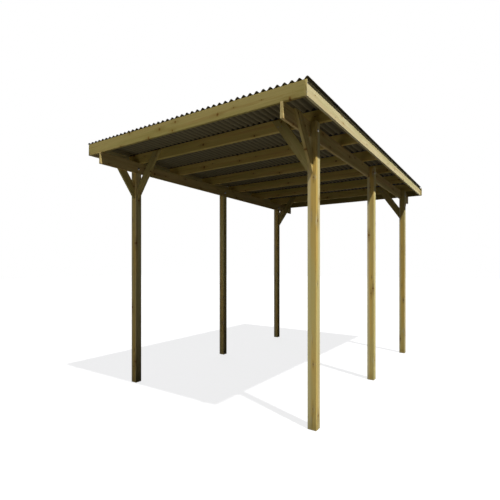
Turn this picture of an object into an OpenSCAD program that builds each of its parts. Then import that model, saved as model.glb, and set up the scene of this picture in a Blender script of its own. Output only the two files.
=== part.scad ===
// Timber carport with a corrugated roof.
// An open frame: two rows of three notched posts carry two side beams, cross purlins lie on the beams,
// knee braces stiffen the corner posts, four fascia boards close the edge and lapped sheets cover it.
// X runs across the front, Y from front (-) to rear (+), Z is up. The origin is on the ground, mid-plan.

/* [Roof] */
// Width of the roof over its side fascias
roof_w = 3010; // [2400:10:3600]
// Length of the roof over its front and rear fascias
roof_l = 4930; // [4400:10:6000]
// Height of the timber roof plane at the front edge
roof_h = 3088; // [2400:1:3400]
// How much lower the roof plane lies at the rear edge
roof_fall = 70; // [0:5:200]

/* [Posts] */
// Side of the square posts
post_s = 90; // [80:1:120]
// Distance from a side edge of the roof in to the middle of the posts
side_over = 203; // [150:1:400]
// Distance from the front or rear edge of the roof in to the middle of the corner posts
end_over = 575; // [450:5:900]

/* [Beams and purlins] */
// Thickness of the side beams
beam_t = 28; // [22:1:45]
// Height of the side beams
beam_h = 145; // [120:5:195]
// Thickness of the cross purlins
purlin_t = 45; // [36:1:60]
// Height of the cross purlins
purlin_h = 125; // [95:5:145]

/* [Braces] */
// Thickness of the brace boards
brace_t = 28; // [20:1:36]
// Width of the brace boards
brace_w = 105; // [70:5:140]
// Slope of the braces from level
brace_angle = 55; // [45:1:60]
// How far the lower tip of a brace lies under the beam
brace_reach = 350; // [250:5:450]
// How far an inward brace stops short of the top of its purlin
brace_short = 20; // [5:1:60]

/* [Fascias] */
// Thickness of the fascia boards
fascia_t = 25; // [18:1:32]
// Height of the fascia boards
fascia_h = 135; // [130:1:165]
// How far the rear fascia stands past the side fascias
rear_fascia_past = 20; // [0:1:25]

/* [Sheets] */
// Thickness of the sheets
sheet_t = 2.2; // [1:0.1:3]
// Distance from crest to crest
wave_pitch = 70; // [60:1:80]
// Height of the waves
wave_h = 24; // [12:1:36]
// How far the sheets stand past the side fascias
sheet_side = 20; // [20:1:60]
// How far the sheets stop behind the face of the front fascia
sheet_back = 2; // [0:1:25]
// How far a sheet runs on past the crest that it shares with the next one
sheet_lap = 25; // [15:1:30]

/* [Hidden] */

LEFT = -1;
RIGHT = 1;
FRONT = -1;
REAR = 1;

// Cutting solids reach this far past what they cut
cut_past = 400;
fall_angle = asin(roof_fall / roof_l);
// Places of the corner posts' middles
post_x = roof_w / 2 - side_over;
post_y = roof_l / 2 - end_over;
// Distances from the middle plane to the two faces of a beam, and its underside under the roof plane
beam_in = post_x - post_s / 2;
beam_out = beam_in + beam_t;
beam_bottom = -purlin_h - beam_h;
// Equal bays, the first and last purlin centred on the plane of the corner posts' rear faces
purlin_n = 6;
purlin_bay = 2 * post_y / (purlin_n - 1);
purlin_l = roof_w - 2 * fascia_t;
// The sheets and the crests that they share out
sheet_n = 4;
crest_n = round(roof_w / wave_pitch) + 1;
// Clearance under the sheets and between lapped sheets
sheet_gap = 0.3;
// Straight steps that make up one wave, and the least share of a step left at a sheet's edge
wave_steps = 16;
wave_step = wave_pitch / wave_steps;
edge_share = 0.05;

timber = [0.72, 0.64, 0.42];
shaded_timber = [0.62, 0.54, 0.34];
sheet_grey = [0.16, 0.16, 0.18];

// Height of the roof plane over the ground at a place along the carport
function roof_z(y) = roof_h - (y + roof_l / 2) * tan(fall_angle);

// Front face of a purlin, measured along the roof
function purlin_front(k) = -post_y + post_s / 2 - purlin_t / 2 + (k - 1) * purlin_bay;

// Stands the roof frame on its slope: z = 0 there is the top of the purlins, y runs down the slope
module on_roof()
    translate([0, -roof_l / 2, roof_h])
        rotate([-fall_angle, 0, 0])
            translate([0, roof_l / 2, 0])
                children();

// Mirrors a piece that is drawn on the right to the side asked for
module on_side(side)
    mirror([side == LEFT ? 1 : 0, 0, 0])
        children();

// A box from its lowest corner to its highest corner
module span_box(low, high)
    translate(low)
        cube(high - low);

// All that lies above a level of the roof frame
module above_roof_level(z)
    on_roof()
        span_box([-roof_w, -roof_l, z], [roof_w, roof_l, z + roof_h]);

// The room over a beam's seat: everything inside the beam's outer face, from its underside up
module beam_room(side)
    on_roof()
        on_side(side)
            span_box([beam_in - cut_past, -roof_l, beam_bottom], [beam_out, roof_l, cut_past]);

// A square post: its inner part is cut down as the seat of a beam and its outer cheek stands beside the beam
module post(side, y)
    color(timber)
        difference() {
            translate([side * post_x - post_s / 2, y - post_s / 2, 0])
                cube([post_s, post_s, roof_h]);
            above_roof_level(-purlin_h);
            beam_room(side);
        }

module beam(side)
    color(shaded_timber)
        on_roof()
            on_side(side)
                span_box([beam_in, -roof_l / 2, beam_bottom], [beam_out, roof_l / 2, -purlin_h]);

module purlin(k)
    color(shaded_timber)
        on_roof()
            translate([-purlin_l / 2, purlin_front(k), -purlin_h])
                cube([purlin_l, purlin_t, purlin_h]);

// An end fascia board, housed over the ends of both beams
module end_fascia(y, length)
    color(timber)
        on_roof()
            difference() {
                translate([-length / 2, y, -fascia_h])
                    cube([length, fascia_t, fascia_h]);
                for (side = [LEFT, RIGHT])
                    on_side(side)
                        span_box([beam_in, y - fascia_t, beam_bottom], [beam_out, y + 2 * fascia_t, -purlin_h]);
            }

// A side fascia board, covering the front fascia's end and stopping at the rear fascia
module side_fascia(side)
    color(timber)
        on_roof()
            on_side(side)
                translate([roof_w / 2 - fascia_t, -roof_l / 2, -fascia_h])
                    cube([fascia_t, roof_l - fascia_t, fascia_h]);

// Outline of a brace: x is the way out from the post's face, y the height over the brace's lower tip
function brace_outline(top) = [
    [0, 0],
    [top / tan(brace_angle), top],
    [(top - brace_w / cos(brace_angle)) / tan(brace_angle), top],
    [0, brace_w / cos(brace_angle)]
];

// A brace along the roof: it butts on the post's face and laps the outer face of the beam up to its top
module brace_along(side, way) {
    face_y = way * (post_y + post_s / 2);
    tip_z = roof_z(face_y) + beam_bottom - brace_reach;
    color(timber)
        difference() {
            on_side(side)
                translate([beam_out, face_y, tip_z])
                    rotate([90, 0, way * 90])
                        translate([0, 0, way == REAR ? 0 : -brace_t])
                            linear_extrude(brace_t)
                                polygon(brace_outline(roof_h - tip_z));
            above_roof_level(-purlin_h);
        }
}

// A brace across the roof: it butts on the post's inner face and laps the front face of its purlin
module brace_inward(side, k)
    color(timber)
        on_roof()
            on_side(side)
                translate([beam_in, purlin_front(k) - brace_t, beam_bottom - brace_reach])
                    rotate([90, 0, 180])
                        linear_extrude(brace_t)
                            polygon(brace_outline(brace_reach - beam_bottom - brace_short));

// Place of a crest across the roof, and the first crest of a sheet, which it shares with the sheet before it
function crest_x(i) = (i - (crest_n - 1) / 2) * wave_pitch;
function first_crest(k) = round((k - 1) * crest_n / sheet_n);

// Height of the wave over its troughs
function wave_z(x) = wave_h * (1 + cos(360 * (x - crest_x(0)) / wave_pitch)) / 2;

// One corrugated sheet: its left edge is lifted over the sheet before it and it comes down to the purlins
module roof_sheet(k) {
    left = k == 1 ? -roof_w / 2 - sheet_side : crest_x(first_crest(k)) - sheet_lap;
    right = k == sheet_n ? roof_w / 2 + sheet_side : crest_x(first_crest(k + 1)) + sheet_lap;
    low = ceil((left - crest_x(0)) / wave_step + edge_share);
    high = floor((right - crest_x(0)) / wave_step - edge_share);
    places = concat([left], [for (i = [low : high]) crest_x(0) + i * wave_step], [right]);
    lift = k > 1 ? sheet_t + sheet_gap : 0;
    under = [for (x = places) [x, sheet_gap + wave_z(x) + lift * (right - x) / (right - left)]];
    over = [for (i = [len(under) - 1 : -1 : 0]) under[i] + [0, sheet_t]];
    color(sheet_grey)
        on_roof()
            translate([0, roof_l / 2, 0])
                rotate([90, 0, 0])
                    linear_extrude(roof_l - sheet_back)
                        polygon(concat(under, over));
}

post(LEFT, -post_y);  // post_front_left
post(LEFT, 0);  // post_middle_left
post(LEFT, post_y);  // post_back_left
post(RIGHT, -post_y);  // post_front_right
post(RIGHT, 0);  // post_middle_right
post(RIGHT, post_y);  // post_back_right
beam(LEFT);  // beam_left
beam(RIGHT);  // beam_right
purlin(1);  // purlin_1
purlin(2);  // purlin_2
purlin(3);  // purlin_3
purlin(4);  // purlin_4
purlin(5);  // purlin_5
purlin(6);  // purlin_6
end_fascia(-roof_l / 2, purlin_l);  // fascia_front
end_fascia(roof_l / 2 - fascia_t, roof_w + 2 * rear_fascia_past);  // fascia_rear
side_fascia(LEFT);  // fascia_left
side_fascia(RIGHT);  // fascia_right
brace_along(LEFT, FRONT);  // brace_front_left_forward
brace_along(RIGHT, FRONT);  // brace_front_right_forward
brace_along(LEFT, REAR);  // brace_back_left_rearward
brace_along(RIGHT, REAR);  // brace_back_right_rearward
brace_inward(LEFT, 1);  // brace_front_left_inward
brace_inward(RIGHT, 1);  // brace_front_right_inward
brace_inward(LEFT, purlin_n);  // brace_back_left_inward
brace_inward(RIGHT, purlin_n);  // brace_back_right_inward
roof_sheet(1);  // roof_sheet_1
roof_sheet(2);  // roof_sheet_2
roof_sheet(3);  // roof_sheet_3
roof_sheet(4);  // roof_sheet_4
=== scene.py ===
"""Looks of a timber carport: treated pine, a charcoal corrugated roof, bolts and screws in studio light."""
import math
import random
from collections import namedtuple

import bmesh
import bpy
from mathutils import Matrix, Vector


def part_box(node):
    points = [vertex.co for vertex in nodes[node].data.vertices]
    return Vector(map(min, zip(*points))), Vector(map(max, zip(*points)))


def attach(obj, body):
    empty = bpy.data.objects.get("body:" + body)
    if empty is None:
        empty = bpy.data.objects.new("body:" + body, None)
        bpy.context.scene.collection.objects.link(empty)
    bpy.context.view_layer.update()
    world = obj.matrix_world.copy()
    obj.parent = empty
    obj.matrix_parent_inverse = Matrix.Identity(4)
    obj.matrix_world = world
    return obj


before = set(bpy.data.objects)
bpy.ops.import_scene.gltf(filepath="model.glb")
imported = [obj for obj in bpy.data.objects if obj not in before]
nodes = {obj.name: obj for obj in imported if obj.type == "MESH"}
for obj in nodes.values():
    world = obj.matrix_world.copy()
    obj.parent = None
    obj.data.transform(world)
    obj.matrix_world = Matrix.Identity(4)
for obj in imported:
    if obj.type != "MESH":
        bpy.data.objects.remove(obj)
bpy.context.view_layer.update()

X_AXIS = Vector((1, 0, 0))
Y_AXIS = Vector((0, 1, 0))
Z_AXIS = Vector((0, 0, 1))
WHITE = (1.0, 1.0, 1.0, 1.0)
SIDES = {"left": -1, "right": 1}
ROWS = ("front", "middle", "back")


# Names and sizes read from the frame

def named(start):
    """The nodes whose names start so, in order."""
    return tuple(sorted(name for name in nodes if name.startswith(start)))


def middle(name):
    """The middle of a node's box."""
    low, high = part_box(name)
    return (low + high) / 2


PURLINS = named("purlin")
SHEETS = named("roof_sheet")
BRACES = named("brace")
front_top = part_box("post_front_right")[1].z
back_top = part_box("post_back_right")[1].z
post_run = middle("post_back_right").y - middle("post_front_right").y
FALL_ANGLE = math.atan((front_top - back_top) / post_run)
PLANE_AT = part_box("purlin_1")[0].y
PLANE_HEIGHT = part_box("purlin_1")[1].z
ROOF_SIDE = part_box("fascia_right")[1].x
DOWN_ROOF = Vector((0, math.cos(FALL_ANGLE), -math.sin(FALL_ANGLE)))
ROOF_UP = Vector((0, math.sin(FALL_ANGLE), math.cos(FALL_ANGLE)))
# The slope of the braces and the pitch of the waves are those of the solids
BRACE_ANGLE = math.radians(55)
WAVE_PITCH = 0.07


def under_roof(x, y, drop):
    """The point that lies so far under the timber roof plane at a place in plan."""
    return Vector((x, y, PLANE_HEIGHT - (y - PLANE_AT) * math.tan(FALL_ANGLE) - drop))


# Boards

def kind_of(name):
    """The kind of board that a node is: a side fascia and an inward brace are kinds of their own."""
    if name in ("fascia_left", "fascia_right"):
        return "side"
    return "inward" if name.endswith("inward") else name.split("_")[0]


def grain_of(name):
    """The direction in which a board's grain runs."""
    kind = kind_of(name)
    if kind == "post":
        return Z_AXIS
    if kind in ("purlin", "fascia"):
        return X_AXIS
    if kind in ("beam", "side"):
        return DOWN_ROOF
    if kind == "inward":
        level = X_AXIS * (1 if "left" in name else -1)
    else:
        level = Y_AXIS * (-1 if name.endswith("forward") else 1)
    return level * math.cos(BRACE_ANGLE) + Z_AXIS * math.sin(BRACE_ANGLE)


def thin_of(name):
    """The direction across a board's thickness. A post is square, and takes the one from front to back."""
    return X_AXIS if kind_of(name) in ("beam", "side", "brace") else Y_AXIS


# Node trees

def srgb(red, green, blue):
    """A screen colour of 0 to 255 as the linear colour that shaders take."""
    def linear(c):
        c = c / 255
        return c / 12.92 if c <= 0.04045 else ((c + 0.055) / 1.055) ** 2.4
    return (linear(red), linear(green), linear(blue), 1.0)


class Graph:
    """A node tree, with short calls for the nodes that the materials use."""

    def __init__(self, tree):
        tree.nodes.clear()
        self.tree = tree

    def node(self, kind, **settings):
        made = self.tree.nodes.new(kind)
        for name, value in settings.items():
            setattr(made, name, value)
        return made

    def feed(self, socket, value):
        """Links a socket to another one, or sets it to a plain value."""
        if isinstance(value, bpy.types.NodeSocket):
            self.tree.links.new(value, socket)
        else:
            socket.default_value = value

    def object_place(self):
        return self.node("ShaderNodeTexCoord").outputs["Object"]

    def math(self, operation, first, second=0.0):
        made = self.node("ShaderNodeMath", operation=operation)
        self.feed(made.inputs[0], first)
        self.feed(made.inputs[1], second)
        return made.outputs[0]

    def vector(self, operation, first, second):
        made = self.node("ShaderNodeVectorMath", operation=operation)
        self.feed(made.inputs[0], first)
        self.feed(made.inputs[1], second)
        return made.outputs["Value" if operation == "DOT_PRODUCT" else "Vector"]

    def length(self, value):
        made = self.node("ShaderNodeVectorMath", operation="LENGTH")
        self.feed(made.inputs[0], value)
        return made.outputs["Value"]

    def split(self, value):
        made = self.node("ShaderNodeSeparateXYZ")
        self.feed(made.inputs[0], value)
        return made.outputs[:]

    def join(self, x, y, z):
        made = self.node("ShaderNodeCombineXYZ")
        for socket, value in zip(made.inputs, (x, y, z)):
            self.feed(socket, value)
        return made.outputs[0]

    def ramp(self, value, low, high, start=0.0, end=1.0):
        """Goes smoothly from start to end as the value goes from low to high."""
        made = self.node("ShaderNodeMapRange", interpolation_type="SMOOTHSTEP")
        for socket, number in zip(made.inputs, (value, low, high, start, end)):
            self.feed(socket, number)
        return made.outputs[0]

    def blend(self, share, first, second, mode="MIX"):
        """Mixes two colours, by the mix node's own colour sockets."""
        made = self.node("ShaderNodeMix", data_type="RGBA", blend_type=mode)
        self.feed(made.inputs[0], share)
        self.feed(made.inputs[6], first)
        self.feed(made.inputs[7], second)
        return made.outputs[2]

    def noise(self, place, scale, detail=2.0, output="Fac"):
        made = self.node("ShaderNodeTexNoise")
        self.feed(made.inputs["Vector"], place)
        made.inputs["Scale"].default_value = scale
        made.inputs["Detail"].default_value = detail
        return made.outputs[output]

    def bump(self, height, strength, distance):
        made = self.node("ShaderNodeBump")
        made.inputs["Strength"].default_value = strength
        made.inputs["Distance"].default_value = distance
        self.feed(made.inputs["Height"], height)
        return made.outputs["Normal"]


def new_material(name):
    """A material with an empty graph, its shader and its output."""
    material = bpy.data.materials.new(name)
    material.use_nodes = True
    graph = Graph(material.node_tree)
    shader = graph.node("ShaderNodeBsdfPrincipled")
    output = graph.node("ShaderNodeOutputMaterial")
    graph.feed(output.inputs["Surface"], shader.outputs[0])
    return material, graph, shader


# Paints and grain, which the materials are made of

# A ramp is written as two values of a pattern and what it gives at each of them.
# A paint is a colour, the values of its pattern where it starts and where it is full, and its share there.
Paint = namedtuple("Paint", "colour start full share")
# A grain is the waves to the metre along it and across it, and how fine they get.
Grain = namedtuple("Grain", "along across detail")


def painted(g, colour, pattern, paint):
    """A colour with a paint laid over it where the pattern calls for it."""
    return g.blend(g.ramp(pattern, paint.start, paint.full, 0.0, paint.share), colour, paint.colour)


def grain_noise(g, place, grain, output="Fac"):
    """Noise that is drawn out along the grain."""
    stretched = g.vector("MULTIPLY", place, (grain.along, grain.across, grain.across))
    return g.noise(stretched, 1.0, grain.detail, output)


# Timber

EARLY_WOOD = srgb(220, 203, 144)
LATE_WOOD = srgb(190, 162, 98)
KNOT_STAIN = srgb(150, 113, 48)
HEART_BAND = Paint(srgb(192, 158, 104), start=0.45, full=0.68, share=0.6)
GREEN_TINT = Paint(srgb(184, 175, 108), start=0.4, full=0.66, share=0.55)
STREAK = Paint(srgb(146, 112, 62), start=0.62, full=0.78, share=0.7)
FIBRE = Paint(LATE_WOOD, start=0.3, full=0.7, share=0.22)
CRACK = Paint(srgb(70, 52, 30), start=0.70, full=0.74, share=0.8)
# Heartwood goes by the distance from the pith, and damp by the height over the ground
HEARTWOOD = Paint(srgb(208, 164, 62), start=0.045, full=0.02, share=0.8)
DAMP = Paint(srgb(62, 52, 30), start=0.16, full=0.0, share=0.22)
DAMP_EDGE = (0.3, 0.7, -0.03, 0.03)
# The paints of a knot go by the distance from its middle, in radii of the knot
POST_STAIN = Paint(KNOT_STAIN, start=2.2, full=0.4, share=0.6)
BOARD_STAIN = Paint(KNOT_STAIN, start=2.2, full=0.4, share=0.28)
KNOT_RIM = Paint(srgb(158, 120, 60), start=1.2, full=0.8, share=0.75)
KNOT_HEART = Paint(srgb(112, 76, 32), start=0.8, full=0.1, share=0.85)

DRIFT_GRAIN = Grain(along=0.8, across=5.0, detail=2.0)
FIBRE_GRAIN = Grain(along=9.0, across=700.0, detail=3.0)
BAND_GRAIN = Grain(along=0.6, across=32.0, detail=3.0)
GREEN_GRAIN = Grain(along=0.9, across=9.0, detail=4.0)
STREAK_GRAIN = Grain(along=1.5, across=75.0, detail=3.0)
CRACK_GRAIN = Grain(along=0.9, across=130.0, detail=2.0)

# Knots: their steps along and round the trunk, sizes, ragged edges, stains and the rings' swirl round them
POST_KNOT_STEP = 0.8
BOARD_KNOT_STEP = 0.42
KNOT_TURN = 1.5
KNOT_RADIUS = 0.013
KNOT_LEAST = 0.45 * KNOT_RADIUS
KNOT_MOST = 1.25 * KNOT_RADIUS
KNOT_EDGE_SCALE = 90.0
KNOT_EDGE = (0.2, 0.8, 0.8, 1.2)
STAIN_STRETCH = 4.0
SWIRL_FROM = 5.0
SWIRL_FULL = 0.6
SWIRL_LIFT = 1.6 * KNOT_RADIUS

# Rings and the pith that they run round
RING_WIDTH = 0.0042
RING_SHARPNESS = 2.5
RING_SHARE = 0.5
RING_WANDER = 0.03
TRUNK_REACH = 9.0
POST_PITH = (0.016, 0.022)
BOARD_PITH = (0.05, 0.10)
PITH_STRAY = 0.35

# Finish: roughness, gloss, the relief of the planed face, and how squarely a cut end faces along the grain
TIMBER_ROUGHNESS = (0.2, 0.8, 0.58, 0.74)
TIMBER_SPECULAR = 0.04
FIBRE_RELIEF = 0.6
RING_RELIEF = 0.4
RELIEF_STRENGTH = 0.35
RELIEF_DEPTH = 0.0006
CUT_END = (0.6, 0.8)

# How each kind of board tints the wood, on its faces and on its cut ends, and how far single boards stray.
# The tones are partly the boards' own colour and partly painted light and shade: the side fascias are paler
# and bluer, as lit faces look, and the front and rear fascias and the inward braces are darker, as shaded
# faces look.
TONES = {
    "post": (1.06, 1.12, 1.25),
    "side": (1.12, 1.20, 1.50),
    "fascia": (0.66, 0.65, 0.48),
    "beam": (0.95, 0.89, 0.82),
    "purlin": (1.02, 0.94, 0.64),
    "brace": (0.93, 0.92, 0.74),
    "inward": (0.78, 0.77, 0.60),
}
END_TONES = {"side": TONES["fascia"], "fascia": TONES["fascia"]}
END_TONE = (0.90, 0.88, 0.80)
SHADES = (0.90, 1.10)
# The seed is picked so that the boards' random shades lean the way the light falls on them: the right beam
# paler and the back purlins a little darker, as painted light and shade.
WOOD_SEED = 192990


def trunk_place(g, name, pick):
    """Where a point of a board lies in the trunk that it was sawn from, whose pith is the X axis."""
    is_post = kind_of(name) == "post"
    turn = grain_of(name).rotation_difference(X_AXIS)
    thin = turn @ thin_of(name) * (1 if is_post else pick.choice((-1, 1)))
    way = math.atan2(thin.z, thin.y) + pick.uniform(-PITH_STRAY, PITH_STRAY)
    off = pick.uniform(*(POST_PITH if is_post else BOARD_PITH))
    pith = Vector((pick.uniform(-TRUNK_REACH, TRUNK_REACH), off * math.cos(way), off * math.sin(way)))
    lay = g.node("ShaderNodeMapping")
    g.feed(lay.inputs["Vector"], g.object_place())
    lay.inputs["Rotation"].default_value = turn.to_euler()
    lay.inputs["Location"].default_value = pith - turn @ middle(name)
    return lay.outputs[0]


def knots(g, place, step):
    """Branches that run out from the pith.

    Gives how far the nearest one is in its radii, the same drawn out along the grain, and the rings' swirl.
    """
    x, y, z = g.split(place)
    angle = g.math("ARCTAN2", z, y)
    cells = g.node("ShaderNodeTexVoronoi", voronoi_dimensions="2D")
    cells.inputs["Scale"].default_value = 1.0
    grid = g.join(g.math("DIVIDE", x, step), g.math("DIVIDE", angle, KNOT_TURN), 0.0)
    g.feed(cells.inputs["Vector"], grid)
    cell_x, cell_angle, _ = g.split(cells.outputs["Position"])
    along = g.math("SUBTRACT", x, g.math("MULTIPLY", cell_x, step))
    turned_by = g.math("SUBTRACT", angle, g.math("MULTIPLY", cell_angle, KNOT_TURN))
    aside = g.math("MULTIPLY", turned_by, g.length(g.join(0.0, y, z)))
    size = g.ramp(g.split(cells.outputs["Color"])[0], 0.0, 1.0, KNOT_LEAST, KNOT_MOST)
    rough = g.ramp(g.noise(place, KNOT_EDGE_SCALE), *KNOT_EDGE)

    def in_radii(lengthwise):
        distance = g.length(g.join(lengthwise, aside, 0.0))
        return g.math("MULTIPLY", g.math("DIVIDE", distance, size), rough)

    away = in_radii(along)
    drawn_out = in_radii(g.math("DIVIDE", along, STAIN_STRETCH))
    return away, drawn_out, g.ramp(away, SWIRL_FROM, SWIRL_FULL, 0.0, SWIRL_LIFT)


def growth_rings(g, place, swirl):
    """The distance from the pith, with the rings' wander in it, and the rings that follow it."""
    drift = grain_noise(g, place, DRIFT_GRAIN, "Color")
    wander = g.vector("MULTIPLY", drift, (0.0, RING_WANDER, RING_WANDER))
    across = g.vector("ADD", g.vector("MULTIPLY", place, (0.0, 1.0, 1.0)), wander)
    radius = g.math("ADD", g.length(across), swirl)
    ring = g.math("POWER", g.math("FRACT", g.math("DIVIDE", radius, RING_WIDTH)), RING_SHARPNESS)
    return radius, ring


def tinted(tone, shade):
    """A tone made paler or darker, as a colour."""
    return tuple(part * shade for part in tone) + (1.0,)


def board_tint(g, name, shade):
    """The tint of a board's faces, and another one on its cut ends."""
    kind = kind_of(name)
    facing = g.vector("DOT_PRODUCT", g.node("ShaderNodeTexCoord").outputs["Normal"], grain_of(name))
    cut_end = g.ramp(g.math("ABSOLUTE", facing), *CUT_END)
    return g.blend(cut_end, tinted(TONES[kind], shade), tinted(END_TONES.get(kind, END_TONE), shade))


def timber(name, seed):
    """Planed pine: growth rings round a pith, knots, heartwood, a green tint, streaks and damp post feet."""
    material, g, shader = new_material("timber_" + name)
    pick = random.Random(seed)
    shade = pick.uniform(*SHADES)
    place = trunk_place(g, name, pick)
    is_post = kind_of(name) == "post"
    away, drawn_out, swirl = knots(g, place, POST_KNOT_STEP if is_post else BOARD_KNOT_STEP)
    radius, ring = growth_rings(g, place, swirl)
    fibre = grain_noise(g, place, FIBRE_GRAIN)
    green = grain_noise(g, place, GREEN_GRAIN)
    layers = [
        (grain_noise(g, place, BAND_GRAIN), HEART_BAND),
        (radius, HEARTWOOD),
        (green, GREEN_TINT),
        (grain_noise(g, place, STREAK_GRAIN), STREAK),
        (fibre, FIBRE),
        (drawn_out, POST_STAIN if is_post else BOARD_STAIN),
        (away, KNOT_RIM),
        (away, KNOT_HEART),
    ]
    if is_post:
        level = g.split(g.object_place())[2]
        layers.append((grain_noise(g, place, CRACK_GRAIN), CRACK))
        layers.append((g.math("ADD", level, g.ramp(green, *DAMP_EDGE)), DAMP))
    colour = g.blend(g.math("MULTIPLY", ring, RING_SHARE), EARLY_WOOD, LATE_WOOD)
    for pattern, paint in layers:
        colour = painted(g, colour, pattern, paint)
    g.feed(shader.inputs["Base Color"], g.blend(1.0, colour, board_tint(g, name, shade), "MULTIPLY"))
    g.feed(shader.inputs["Roughness"], g.ramp(fibre, *TIMBER_ROUGHNESS))
    shader.inputs["Specular IOR Level"].default_value = TIMBER_SPECULAR
    relief = g.math("ADD", g.math("MULTIPLY", fibre, FIBRE_RELIEF), g.math("MULTIPLY", ring, RING_RELIEF))
    g.feed(shader.inputs["Normal"], g.bump(relief, RELIEF_STRENGTH, RELIEF_DEPTH))
    return material


# Sheets, steel and caps

SHEET_TOP = srgb(28, 27, 29)
SHEET_DUST = Paint(srgb(50, 49, 50), start=0.45, full=0.8, share=0.6)
SHEET_GRIT = Paint(SHEET_TOP, start=0.3, full=0.7, share=0.2)
# Painted shade in the hollows of the waves underneath, and painted light on their ridges
SHEET_HOLLOW_SHADED = srgb(118, 109, 82)
SHEET_RIDGE_LIT = Paint(srgb(152, 142, 109), start=-0.8, full=0.9, share=1.0)
# Painted shade in the hollows over a purlin, which goes by the distance from its rear face
PAINTED_SHADE_OVER_PURLINS = Paint(srgb(40, 36, 27), start=0.06, full=0.035, share=0.85)
WASH_STRETCH = (60.0, 0.8, 60.0)
WASH_DETAIL = 3.0
GRIT_SCALE = 900.0
GRIT_STRENGTH = 0.2
GRIT_DEPTH = 0.0004
UP_EDGE = 0.1
SHEET_ROUGHNESS = (0.3, 0.8, 0.42, 0.62)
UNDER_SPECULAR = 0.01
TOP_SPECULAR = 0.12
ZINC_DARK = srgb(112, 110, 102)
ZINC_PALE = srgb(146, 143, 132)
SPANGLE_SCALE = 260.0
SPANGLE_DETAIL = 3.0
STEEL_ROUGHNESS = (0.3, 0.7, 0.45, 0.6)
CAP_DARK = srgb(34, 33, 35)
CAP_PALE = srgb(52, 51, 53)
CAP_SCALE = 1200.0
CAP_ROUGHNESS = (0.3, 0.7, 0.4, 0.55)


def from_purlins(g, place):
    """How far a point lies from the nearest purlin's rear face."""
    y = g.split(place)[1]
    away = [g.math("ABSOLUTE", g.math("SUBTRACT", y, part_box(name)[1].y)) for name in PURLINS]
    nearest = away[0]
    for other in away[1:]:
        nearest = g.math("MINIMUM", nearest, other)
    return nearest


def corrugated():
    """Matt charcoal sheet with fine grit and washed dust.

    Underneath it is grey, with painted light on the low ridges, painted shade in the hollows between them,
    and a darker painted shade in the shut-in hollows over the purlins.
    """
    material, g, shader = new_material("corrugated_sheet")
    place = g.object_place()
    wash = g.noise(g.vector("MULTIPLY", place, WASH_STRETCH), 1.0, WASH_DETAIL)
    grit = g.noise(place, GRIT_SCALE)
    facing_up = g.vector("DOT_PRODUCT", g.node("ShaderNodeNewGeometry").outputs["Normal"], Z_AXIS)
    phase = g.math("COSINE", g.math("MULTIPLY", g.split(place)[0], 2 * math.pi / WAVE_PITCH))
    top = painted(g, SHEET_TOP, wash, SHEET_DUST)
    # Painted light on the ridges and painted shade in the hollows of the waves
    under = painted(g, SHEET_HOLLOW_SHADED, phase, SHEET_RIDGE_LIT)
    # Painted shade in the shut-in hollows over the purlins
    under = painted(g, under, from_purlins(g, place), PAINTED_SHADE_OVER_PURLINS)
    colour = g.blend(g.ramp(facing_up, -UP_EDGE, UP_EDGE), under, top)
    g.feed(shader.inputs["Base Color"], painted(g, colour, grit, SHEET_GRIT))
    g.feed(shader.inputs["Roughness"], g.ramp(wash, *SHEET_ROUGHNESS))
    specular = g.ramp(facing_up, -UP_EDGE, UP_EDGE, UNDER_SPECULAR, TOP_SPECULAR)
    g.feed(shader.inputs["Specular IOR Level"], specular)
    g.feed(shader.inputs["Normal"], g.bump(grit, GRIT_STRENGTH, GRIT_DEPTH))
    return material


def galvanised():
    """Zinc-coated steel with a soft spangle."""
    material, g, shader = new_material("galvanised_steel")
    spangle = g.noise(g.object_place(), SPANGLE_SCALE, SPANGLE_DETAIL)
    g.feed(shader.inputs["Base Color"], g.blend(spangle, ZINC_DARK, ZINC_PALE))
    g.feed(shader.inputs["Roughness"], g.ramp(spangle, *STEEL_ROUGHNESS))
    shader.inputs["Metallic"].default_value = 1.0
    return material


def cap_plastic():
    """Dark moulded plastic of the caps over the sheet screws."""
    material, g, shader = new_material("cap_plastic")
    grain = g.noise(g.object_place(), CAP_SCALE)
    g.feed(shader.inputs["Base Color"], g.blend(grain, CAP_DARK, CAP_PALE))
    g.feed(shader.inputs["Roughness"], g.ramp(grain, *CAP_ROUGHNESS))
    return material


# Dressing of the frame's own boards and sheets

ARRIS = 0.0025
ARRIS_STEPS = 2
WELD_REACH = 1e-5
SMOOTH_BELOW = math.radians(35)
SMOOTH_GROUP = "smooth_waves"


def dress(node, material):
    """Gives a node its material, and welds its corners."""
    node.data.materials.clear()
    node.data.materials.append(material)
    weld = node.modifiers.new("weld", "WELD")
    weld.merge_threshold = WELD_REACH


def soften_edges(board):
    """Planes a small round on a board's arrises."""
    bevel = board.modifiers.new("arris", "BEVEL")
    bevel.width = ARRIS
    bevel.segments = ARRIS_STEPS
    bevel.limit_method = "ANGLE"
    bevel.harden_normals = True


def dress_boards():
    for seed, name in enumerate(sorted(nodes), WOOD_SEED):
        if name in SHEETS:
            continue
        dress(nodes[name], timber(name, seed))
        soften_edges(nodes[name])


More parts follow.
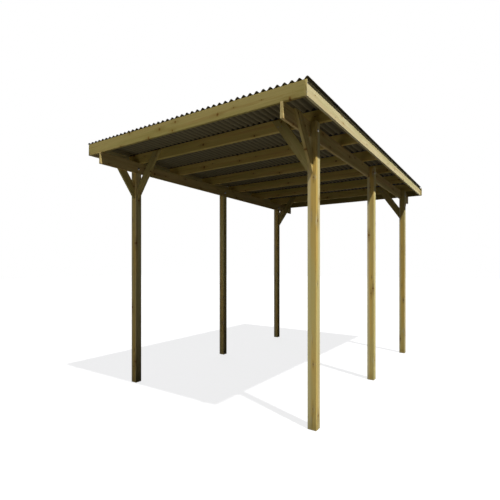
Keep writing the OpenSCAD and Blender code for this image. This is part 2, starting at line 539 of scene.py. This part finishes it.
def smooth_group():
    """Geometry nodes that shade a surface smooth except over its sharp edges."""
    group = bpy.data.node_groups.new(SMOOTH_GROUP, "GeometryNodeTree")
    group.interface.new_socket("Geometry", in_out="INPUT", socket_type="NodeSocketGeometry")
    group.interface.new_socket("Geometry", in_out="OUTPUT", socket_type="NodeSocketGeometry")
    g = Graph(group)
    start = g.node("NodeGroupInput")
    end = g.node("NodeGroupOutput")
    faces = g.node("GeometryNodeSetShadeSmooth", domain="FACE")
    edges = g.node("GeometryNodeSetShadeSmooth", domain="EDGE")
    angle = g.node("GeometryNodeInputMeshEdgeAngle")
    sharp = g.node("FunctionNodeCompare", operation="GREATER_THAN")
    sharp.inputs[1].default_value = SMOOTH_BELOW
    g.feed(sharp.inputs[0], angle.outputs["Unsigned Angle"])
    g.feed(faces.inputs["Geometry"], start.outputs[0])
    g.feed(edges.inputs["Geometry"], faces.outputs[0])
    g.feed(edges.inputs["Selection"], sharp.outputs[0])
    edges.inputs["Shade Smooth"].default_value = False
    g.feed(end.inputs[0], edges.outputs[0])


def smooth(thing):
    thing.modifiers.new("smooth", "NODES").node_group = bpy.data.node_groups[SMOOTH_GROUP]


def dress_sheets():
    material = corrugated()
    for name in SHEETS:
        dress(nodes[name], material)
        smooth(nodes[name])


# Fasteners

def turned(mesh, profile, foot, way, steps):
    """Adds a closed piece turned from (radius, height) points, standing on a foot point along a direction."""
    place = Matrix.Translation(foot) @ way.to_track_quat("Z", "Y").to_matrix().to_4x4()
    turns = [2 * math.pi * i / steps for i in range(steps)]
    rings = []
    for radius, height in profile:
        if radius == 0:
            rings.append([mesh.verts.new(place @ Vector((0, 0, height)))])
            continue
        rings.append([mesh.verts.new(place @ Vector((radius * math.cos(t), radius * math.sin(t), height)))
                      for t in turns])
    for below, above in zip(rings, rings[1:]):
        for i in range(steps):
            j = (i + 1) % steps
            corners = [below[i % len(below)], below[j % len(below)],
                       above[j % len(above)], above[i % len(above)]]
            mesh.faces.new(list(dict.fromkeys(corners)))


def piece(name, mesh, material):
    """Turns a bmesh into a piece of the object, with its material."""
    bmesh.ops.recalc_face_normals(mesh, faces=mesh.faces)
    data = bpy.data.meshes.new(name)
    mesh.to_mesh(data)
    mesh.free()
    made = bpy.data.objects.new(name, data)
    bpy.context.collection.objects.link(made)
    data.materials.append(material)
    smooth(made)
    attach(made, "root")


# Profiles of the turned pieces, as (radius, height) points, and the sides that they are turned with
SINK = -0.001
CAP_SKIRT = -0.0065
DOME_HEAD = [(0, SINK), (0.015, SINK), (0.015, 0.0022), (0.0125, 0.0024), (0.0118, 0.0045), (0.009, 0.0066),
             (0.005, 0.0078), (0, 0.0082)]
WASHER = [(0, SINK), (0.0165, SINK), (0.0165, 0.0022), (0.0155, 0.0028), (0, 0.0028)]
NUT = [(0, 0), (0.0108, 0), (0.0108, 0.0085), (0.0095, 0.0098), (0, 0.0098)]
BOLT_END = [(0, 0), (0.005, 0), (0.005, 0.0185), (0.004, 0.0195), (0, 0.0195)]
SCREW_HEAD = [(0, SINK), (0.0052, SINK), (0.0052, 0.0002), (0.0046, 0.0006), (0.0024, 0.0007),
              (0.0016, -0.0008), (0, -0.0008)]
CAP = [(0, CAP_SKIRT), (0.0115, CAP_SKIRT), (0.0115, 0.0012), (0.0085, 0.0020), (0.0080, 0.0050),
       (0.0060, 0.0068), (0, 0.0074)]
ROUND_SIDES = 20
NUT_SIDES = 6
SMALL_SIDES = 12
CAP_SIDES = 14

# Where the fasteners sit
BOLT_DROP = 0.088
SCREW_RISE = 0.035
CORNER_IN = 0.015
LAP_DOWN = 0.09
LAP_BACK = 0.045
LAP_APART = 0.02
CAPS_EVERY = 4


def post_bolts(steel):
    """A domed bolt through each post's cheek and beam, with its washer and nut inside."""
    mesh = bmesh.new()
    for side, sign in SIDES.items():
        out = X_AXIS * sign
        beam_low, beam_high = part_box("beam_" + side)
        for row in ROWS:
            low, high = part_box("post_%s_%s" % (row, side))
            y = (low.y + high.y) / 2
            z = high.z - BOLT_DROP
            outer = Vector((high.x if sign > 0 else low.x, y, z))
            inner = Vector((beam_low.x if sign > 0 else beam_high.x, y, z))
            on_washer = inner - out * WASHER[-1][1]
            turned(mesh, DOME_HEAD, outer, out, ROUND_SIDES)
            turned(mesh, WASHER, inner, -out, ROUND_SIDES)
            turned(mesh, NUT, on_washer, -out, NUT_SIDES)
            turned(mesh, BOLT_END, on_washer, -out, SMALL_SIDES)
    piece("post_bolts", mesh, steel)


def screw_pair(mesh, spot, way, gap):
    """Two screws, one on each side of a spot."""
    for step in (-gap, gap):
        turned(mesh, SCREW_HEAD, spot + step, way, SMALL_SIDES)


def fascia_screws(steel):
    """Pairs of screws in the side fascias, at purlins and front corner, and in the rear fascia's ends."""
    mesh = bmesh.new()
    board = middle("fascia_front")
    board_middle = under_roof(board.x, board.y, 0).z - board.z
    rear_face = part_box("fascia_rear")[1].y
    rise = Z_AXIS * SCREW_RISE
    places = [middle(name).y for name in PURLINS] + [board.y]
    for sign in SIDES.values():
        for y in places:
            screw_pair(mesh, under_roof(sign * ROOF_SIDE, y, board_middle), X_AXIS * sign, rise)
        x = sign * (ROOF_SIDE - CORNER_IN)
        screw_pair(mesh, under_roof(x, rear_face, board_middle), DOWN_ROOF, rise)
    piece("fascia_screws", mesh, steel)


def brace_screws(steel):
    """Two screws through each brace's lapped top."""
    mesh = bmesh.new()
    for name in BRACES:
        low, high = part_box(name)
        along = grain_of(name)
        sign = 1 if "right" in name else -1
        if kind_of(name) == "inward":
            face = -Y_AXIS
            top = Vector((low.x if sign > 0 else high.x, low.y, high.z))
        else:
            face = X_AXIS * sign
            x = high.x if sign > 0 else low.x
            y = low.y if name.endswith("forward") else high.y
            top = Vector((x, y, high.z))
        level = Vector((along.x, along.y, 0)).normalized()
        screw_pair(mesh, top - along * LAP_DOWN - level * LAP_BACK, face, level * LAP_APART)
    piece("brace_screws", mesh, steel)


def crest_height(x):
    """Height of a crest over the roof plane: every sheet but the first is lifted over the one before it."""
    first_low, first_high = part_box(SHEETS[0])
    height = first_high.z - under_roof(0, first_low.y, 0).z
    lifts = [0.0]
    for name in SHEETS[1:]:
        low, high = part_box(name)
        if low.x <= x <= high.x:
            lifts.append((high.z - first_high.z) * (high.x - x) / (high.x - low.x))
    return height + max(lifts)


def sheet_caps(plastic):
    """Capped screws on the crests over every purlin, at every fourth crest."""
    mesh = bmesh.new()
    crests = round(2 * ROOF_SIDE / WAVE_PITCH) + 1
    for name in PURLINS:
        y = middle(name).y
        for i in range(1, crests, CAPS_EVERY):
            x = (i - (crests - 1) / 2) * WAVE_PITCH
            turned(mesh, CAP, under_roof(x, y, -crest_height(x)), ROOF_UP, CAP_SIDES)
    piece("sheet_caps", mesh, plastic)


# Studio

# The camera stands level, and its lens is shifted
CAMERA_PLACE = Vector((2.833, -5.238, 1.587))
CAMERA_TURN = math.radians(34.2)
SENSOR = 36.0
PHOTO_SIDE = 500
FOCAL_PIXELS = 375.9
HORIZON_BELOW = 14.2

# Distant lamps: the sun, a wide fill from the front and one from behind
KEY_FROM = Vector((1.0, -0.37, 2.16))
KEY_STRENGTH = 5.7
KEY_ANGLE = math.radians(1.2)
KEY_COLOUR = (1.0, 1.0, 1.0)
FILL_FROM = Vector((-0.3, -1.0, 0.42))
FILL_STRENGTH = 0.40
FILL_ANGLE = math.radians(60)
FILL_COLOUR = (0.97, 1.0, 1.2)
BACK_FROM = Vector((-0.9, 1.0, 0.6))
BACK_STRENGTH = 1.3

# Soft boxes that lie on the floor in front and on the right
FRONT_BOX = Vector((0.4, -4.3, 0.05))
FRONT_POWER = 18.5
SIDE_BOX = Vector((3.6, -1.2, 0.05))
SIDE_POWER = 8.5
BOX_SIDE = 2.4

# The sky and floor are pale to look at, and throw little light back under the roof
SKY_STRENGTH = 0.018
FLOOR_SIDE = 80.0
FLOOR_COLOUR = (0.016, 0.0145, 0.0115, 1.0)
FLOOR_SEEN = (0.9, 0.9, 0.9, 1.0)
FLOOR_GLOW = 0.82


def lamp(name, direction, strength, angle, colour):
    """A distant lamp that shines from a direction, softened by its angle."""
    data = bpy.data.lights.new(name, "SUN")
    data.energy = strength
    data.angle = angle
    data.color = colour
    made = bpy.data.objects.new(name, data)
    made.rotation_mode = "QUATERNION"
    made.rotation_quaternion = direction.to_track_quat("Z", "Y")
    bpy.context.collection.objects.link(made)


def soft_box(name, place, power):
    """A soft square lamp that lies beside the carport and shines up in under the roof."""
    data = bpy.data.lights.new(name, "AREA")
    data.size = BOX_SIDE
    data.energy = power
    made = bpy.data.objects.new(name, data)
    made.location = place
    made.rotation_euler = (math.pi, 0, 0)
    made.visible_camera = False
    bpy.context.collection.objects.link(made)


def seen_directly(g):
    """1 for rays from the camera, from gloss and through glass, and 0 for light that falls on the object."""
    path = g.node("ShaderNodeLightPath")
    mirrored = g.math("MAXIMUM", path.outputs["Is Glossy Ray"], path.outputs["Is Transmission Ray"])
    return g.math("MAXIMUM", path.outputs["Is Camera Ray"], mirrored)


def sky():
    """A white background that sheds only a little light."""
    world = bpy.data.worlds.new("studio")
    bpy.context.scene.world = world
    world.use_nodes = True
    g = Graph(world.node_tree)
    light = g.node("ShaderNodeBackground")
    light.inputs["Color"].default_value = WHITE
    g.feed(light.inputs["Strength"], g.ramp(seen_directly(g), 0.0, 1.0, SKY_STRENGTH, 1.0))
    g.feed(g.node("ShaderNodeOutputWorld").inputs["Surface"], light.outputs[0])


def floor():
    """A plain pale floor: it looks white where it is lit, and keeps the carport's shadow."""
    half = FLOOR_SIDE / 2
    data = bpy.data.meshes.new("floor")
    corners = [(-half, -half, 0), (half, -half, 0), (half, half, 0), (-half, half, 0)]
    data.from_pydata(corners, [], [(0, 1, 2, 3)])
    made = bpy.data.objects.new("floor", data)
    bpy.context.collection.objects.link(made)
    material = bpy.data.materials.new("floor")
    material.use_nodes = True
    g = Graph(material.node_tree)
    seen = seen_directly(g)
    plain = g.node("ShaderNodeBsdfDiffuse")
    g.feed(plain.inputs["Color"], g.blend(seen, FLOOR_COLOUR, FLOOR_SEEN))
    glow = g.node("ShaderNodeEmission")
    mix = g.node("ShaderNodeMixShader")
    g.feed(mix.inputs[0], g.math("MULTIPLY", seen, FLOOR_GLOW))
    g.feed(mix.inputs[1], plain.outputs[0])
    g.feed(mix.inputs[2], glow.outputs[0])
    g.feed(g.node("ShaderNodeOutputMaterial").inputs["Surface"], mix.outputs[0])
    data.materials.append(material)


def camera():
    """The camera of the photograph."""
    data = bpy.data.cameras.new("camera")
    data.sensor_width = SENSOR
    data.lens = SENSOR * FOCAL_PIXELS / PHOTO_SIDE
    data.shift_y = HORIZON_BELOW / PHOTO_SIDE
    made = bpy.data.objects.new("camera", data)
    made.location = CAMERA_PLACE
    made.rotation_euler = (math.pi / 2, 0, CAMERA_TURN)
    bpy.context.collection.objects.link(made)
    bpy.context.scene.camera = made


def main():
    smooth_group()
    dress_boards()
    dress_sheets()
    steel = galvanised()
    post_bolts(steel)
    fascia_screws(steel)
    brace_screws(steel)
    sheet_caps(cap_plastic())
    lamp("key", KEY_FROM, KEY_STRENGTH, KEY_ANGLE, KEY_COLOUR)
    lamp("fill", FILL_FROM, FILL_STRENGTH, FILL_ANGLE, FILL_COLOUR)
    lamp("back", BACK_FROM, BACK_STRENGTH, FILL_ANGLE, FILL_COLOUR)
    soft_box("front_box", FRONT_BOX, FRONT_POWER)
    soft_box("side_box", SIDE_BOX, SIDE_POWER)
    sky()
    floor()
    camera()
    bpy.context.scene.view_settings.view_transform = "Standard"


main()
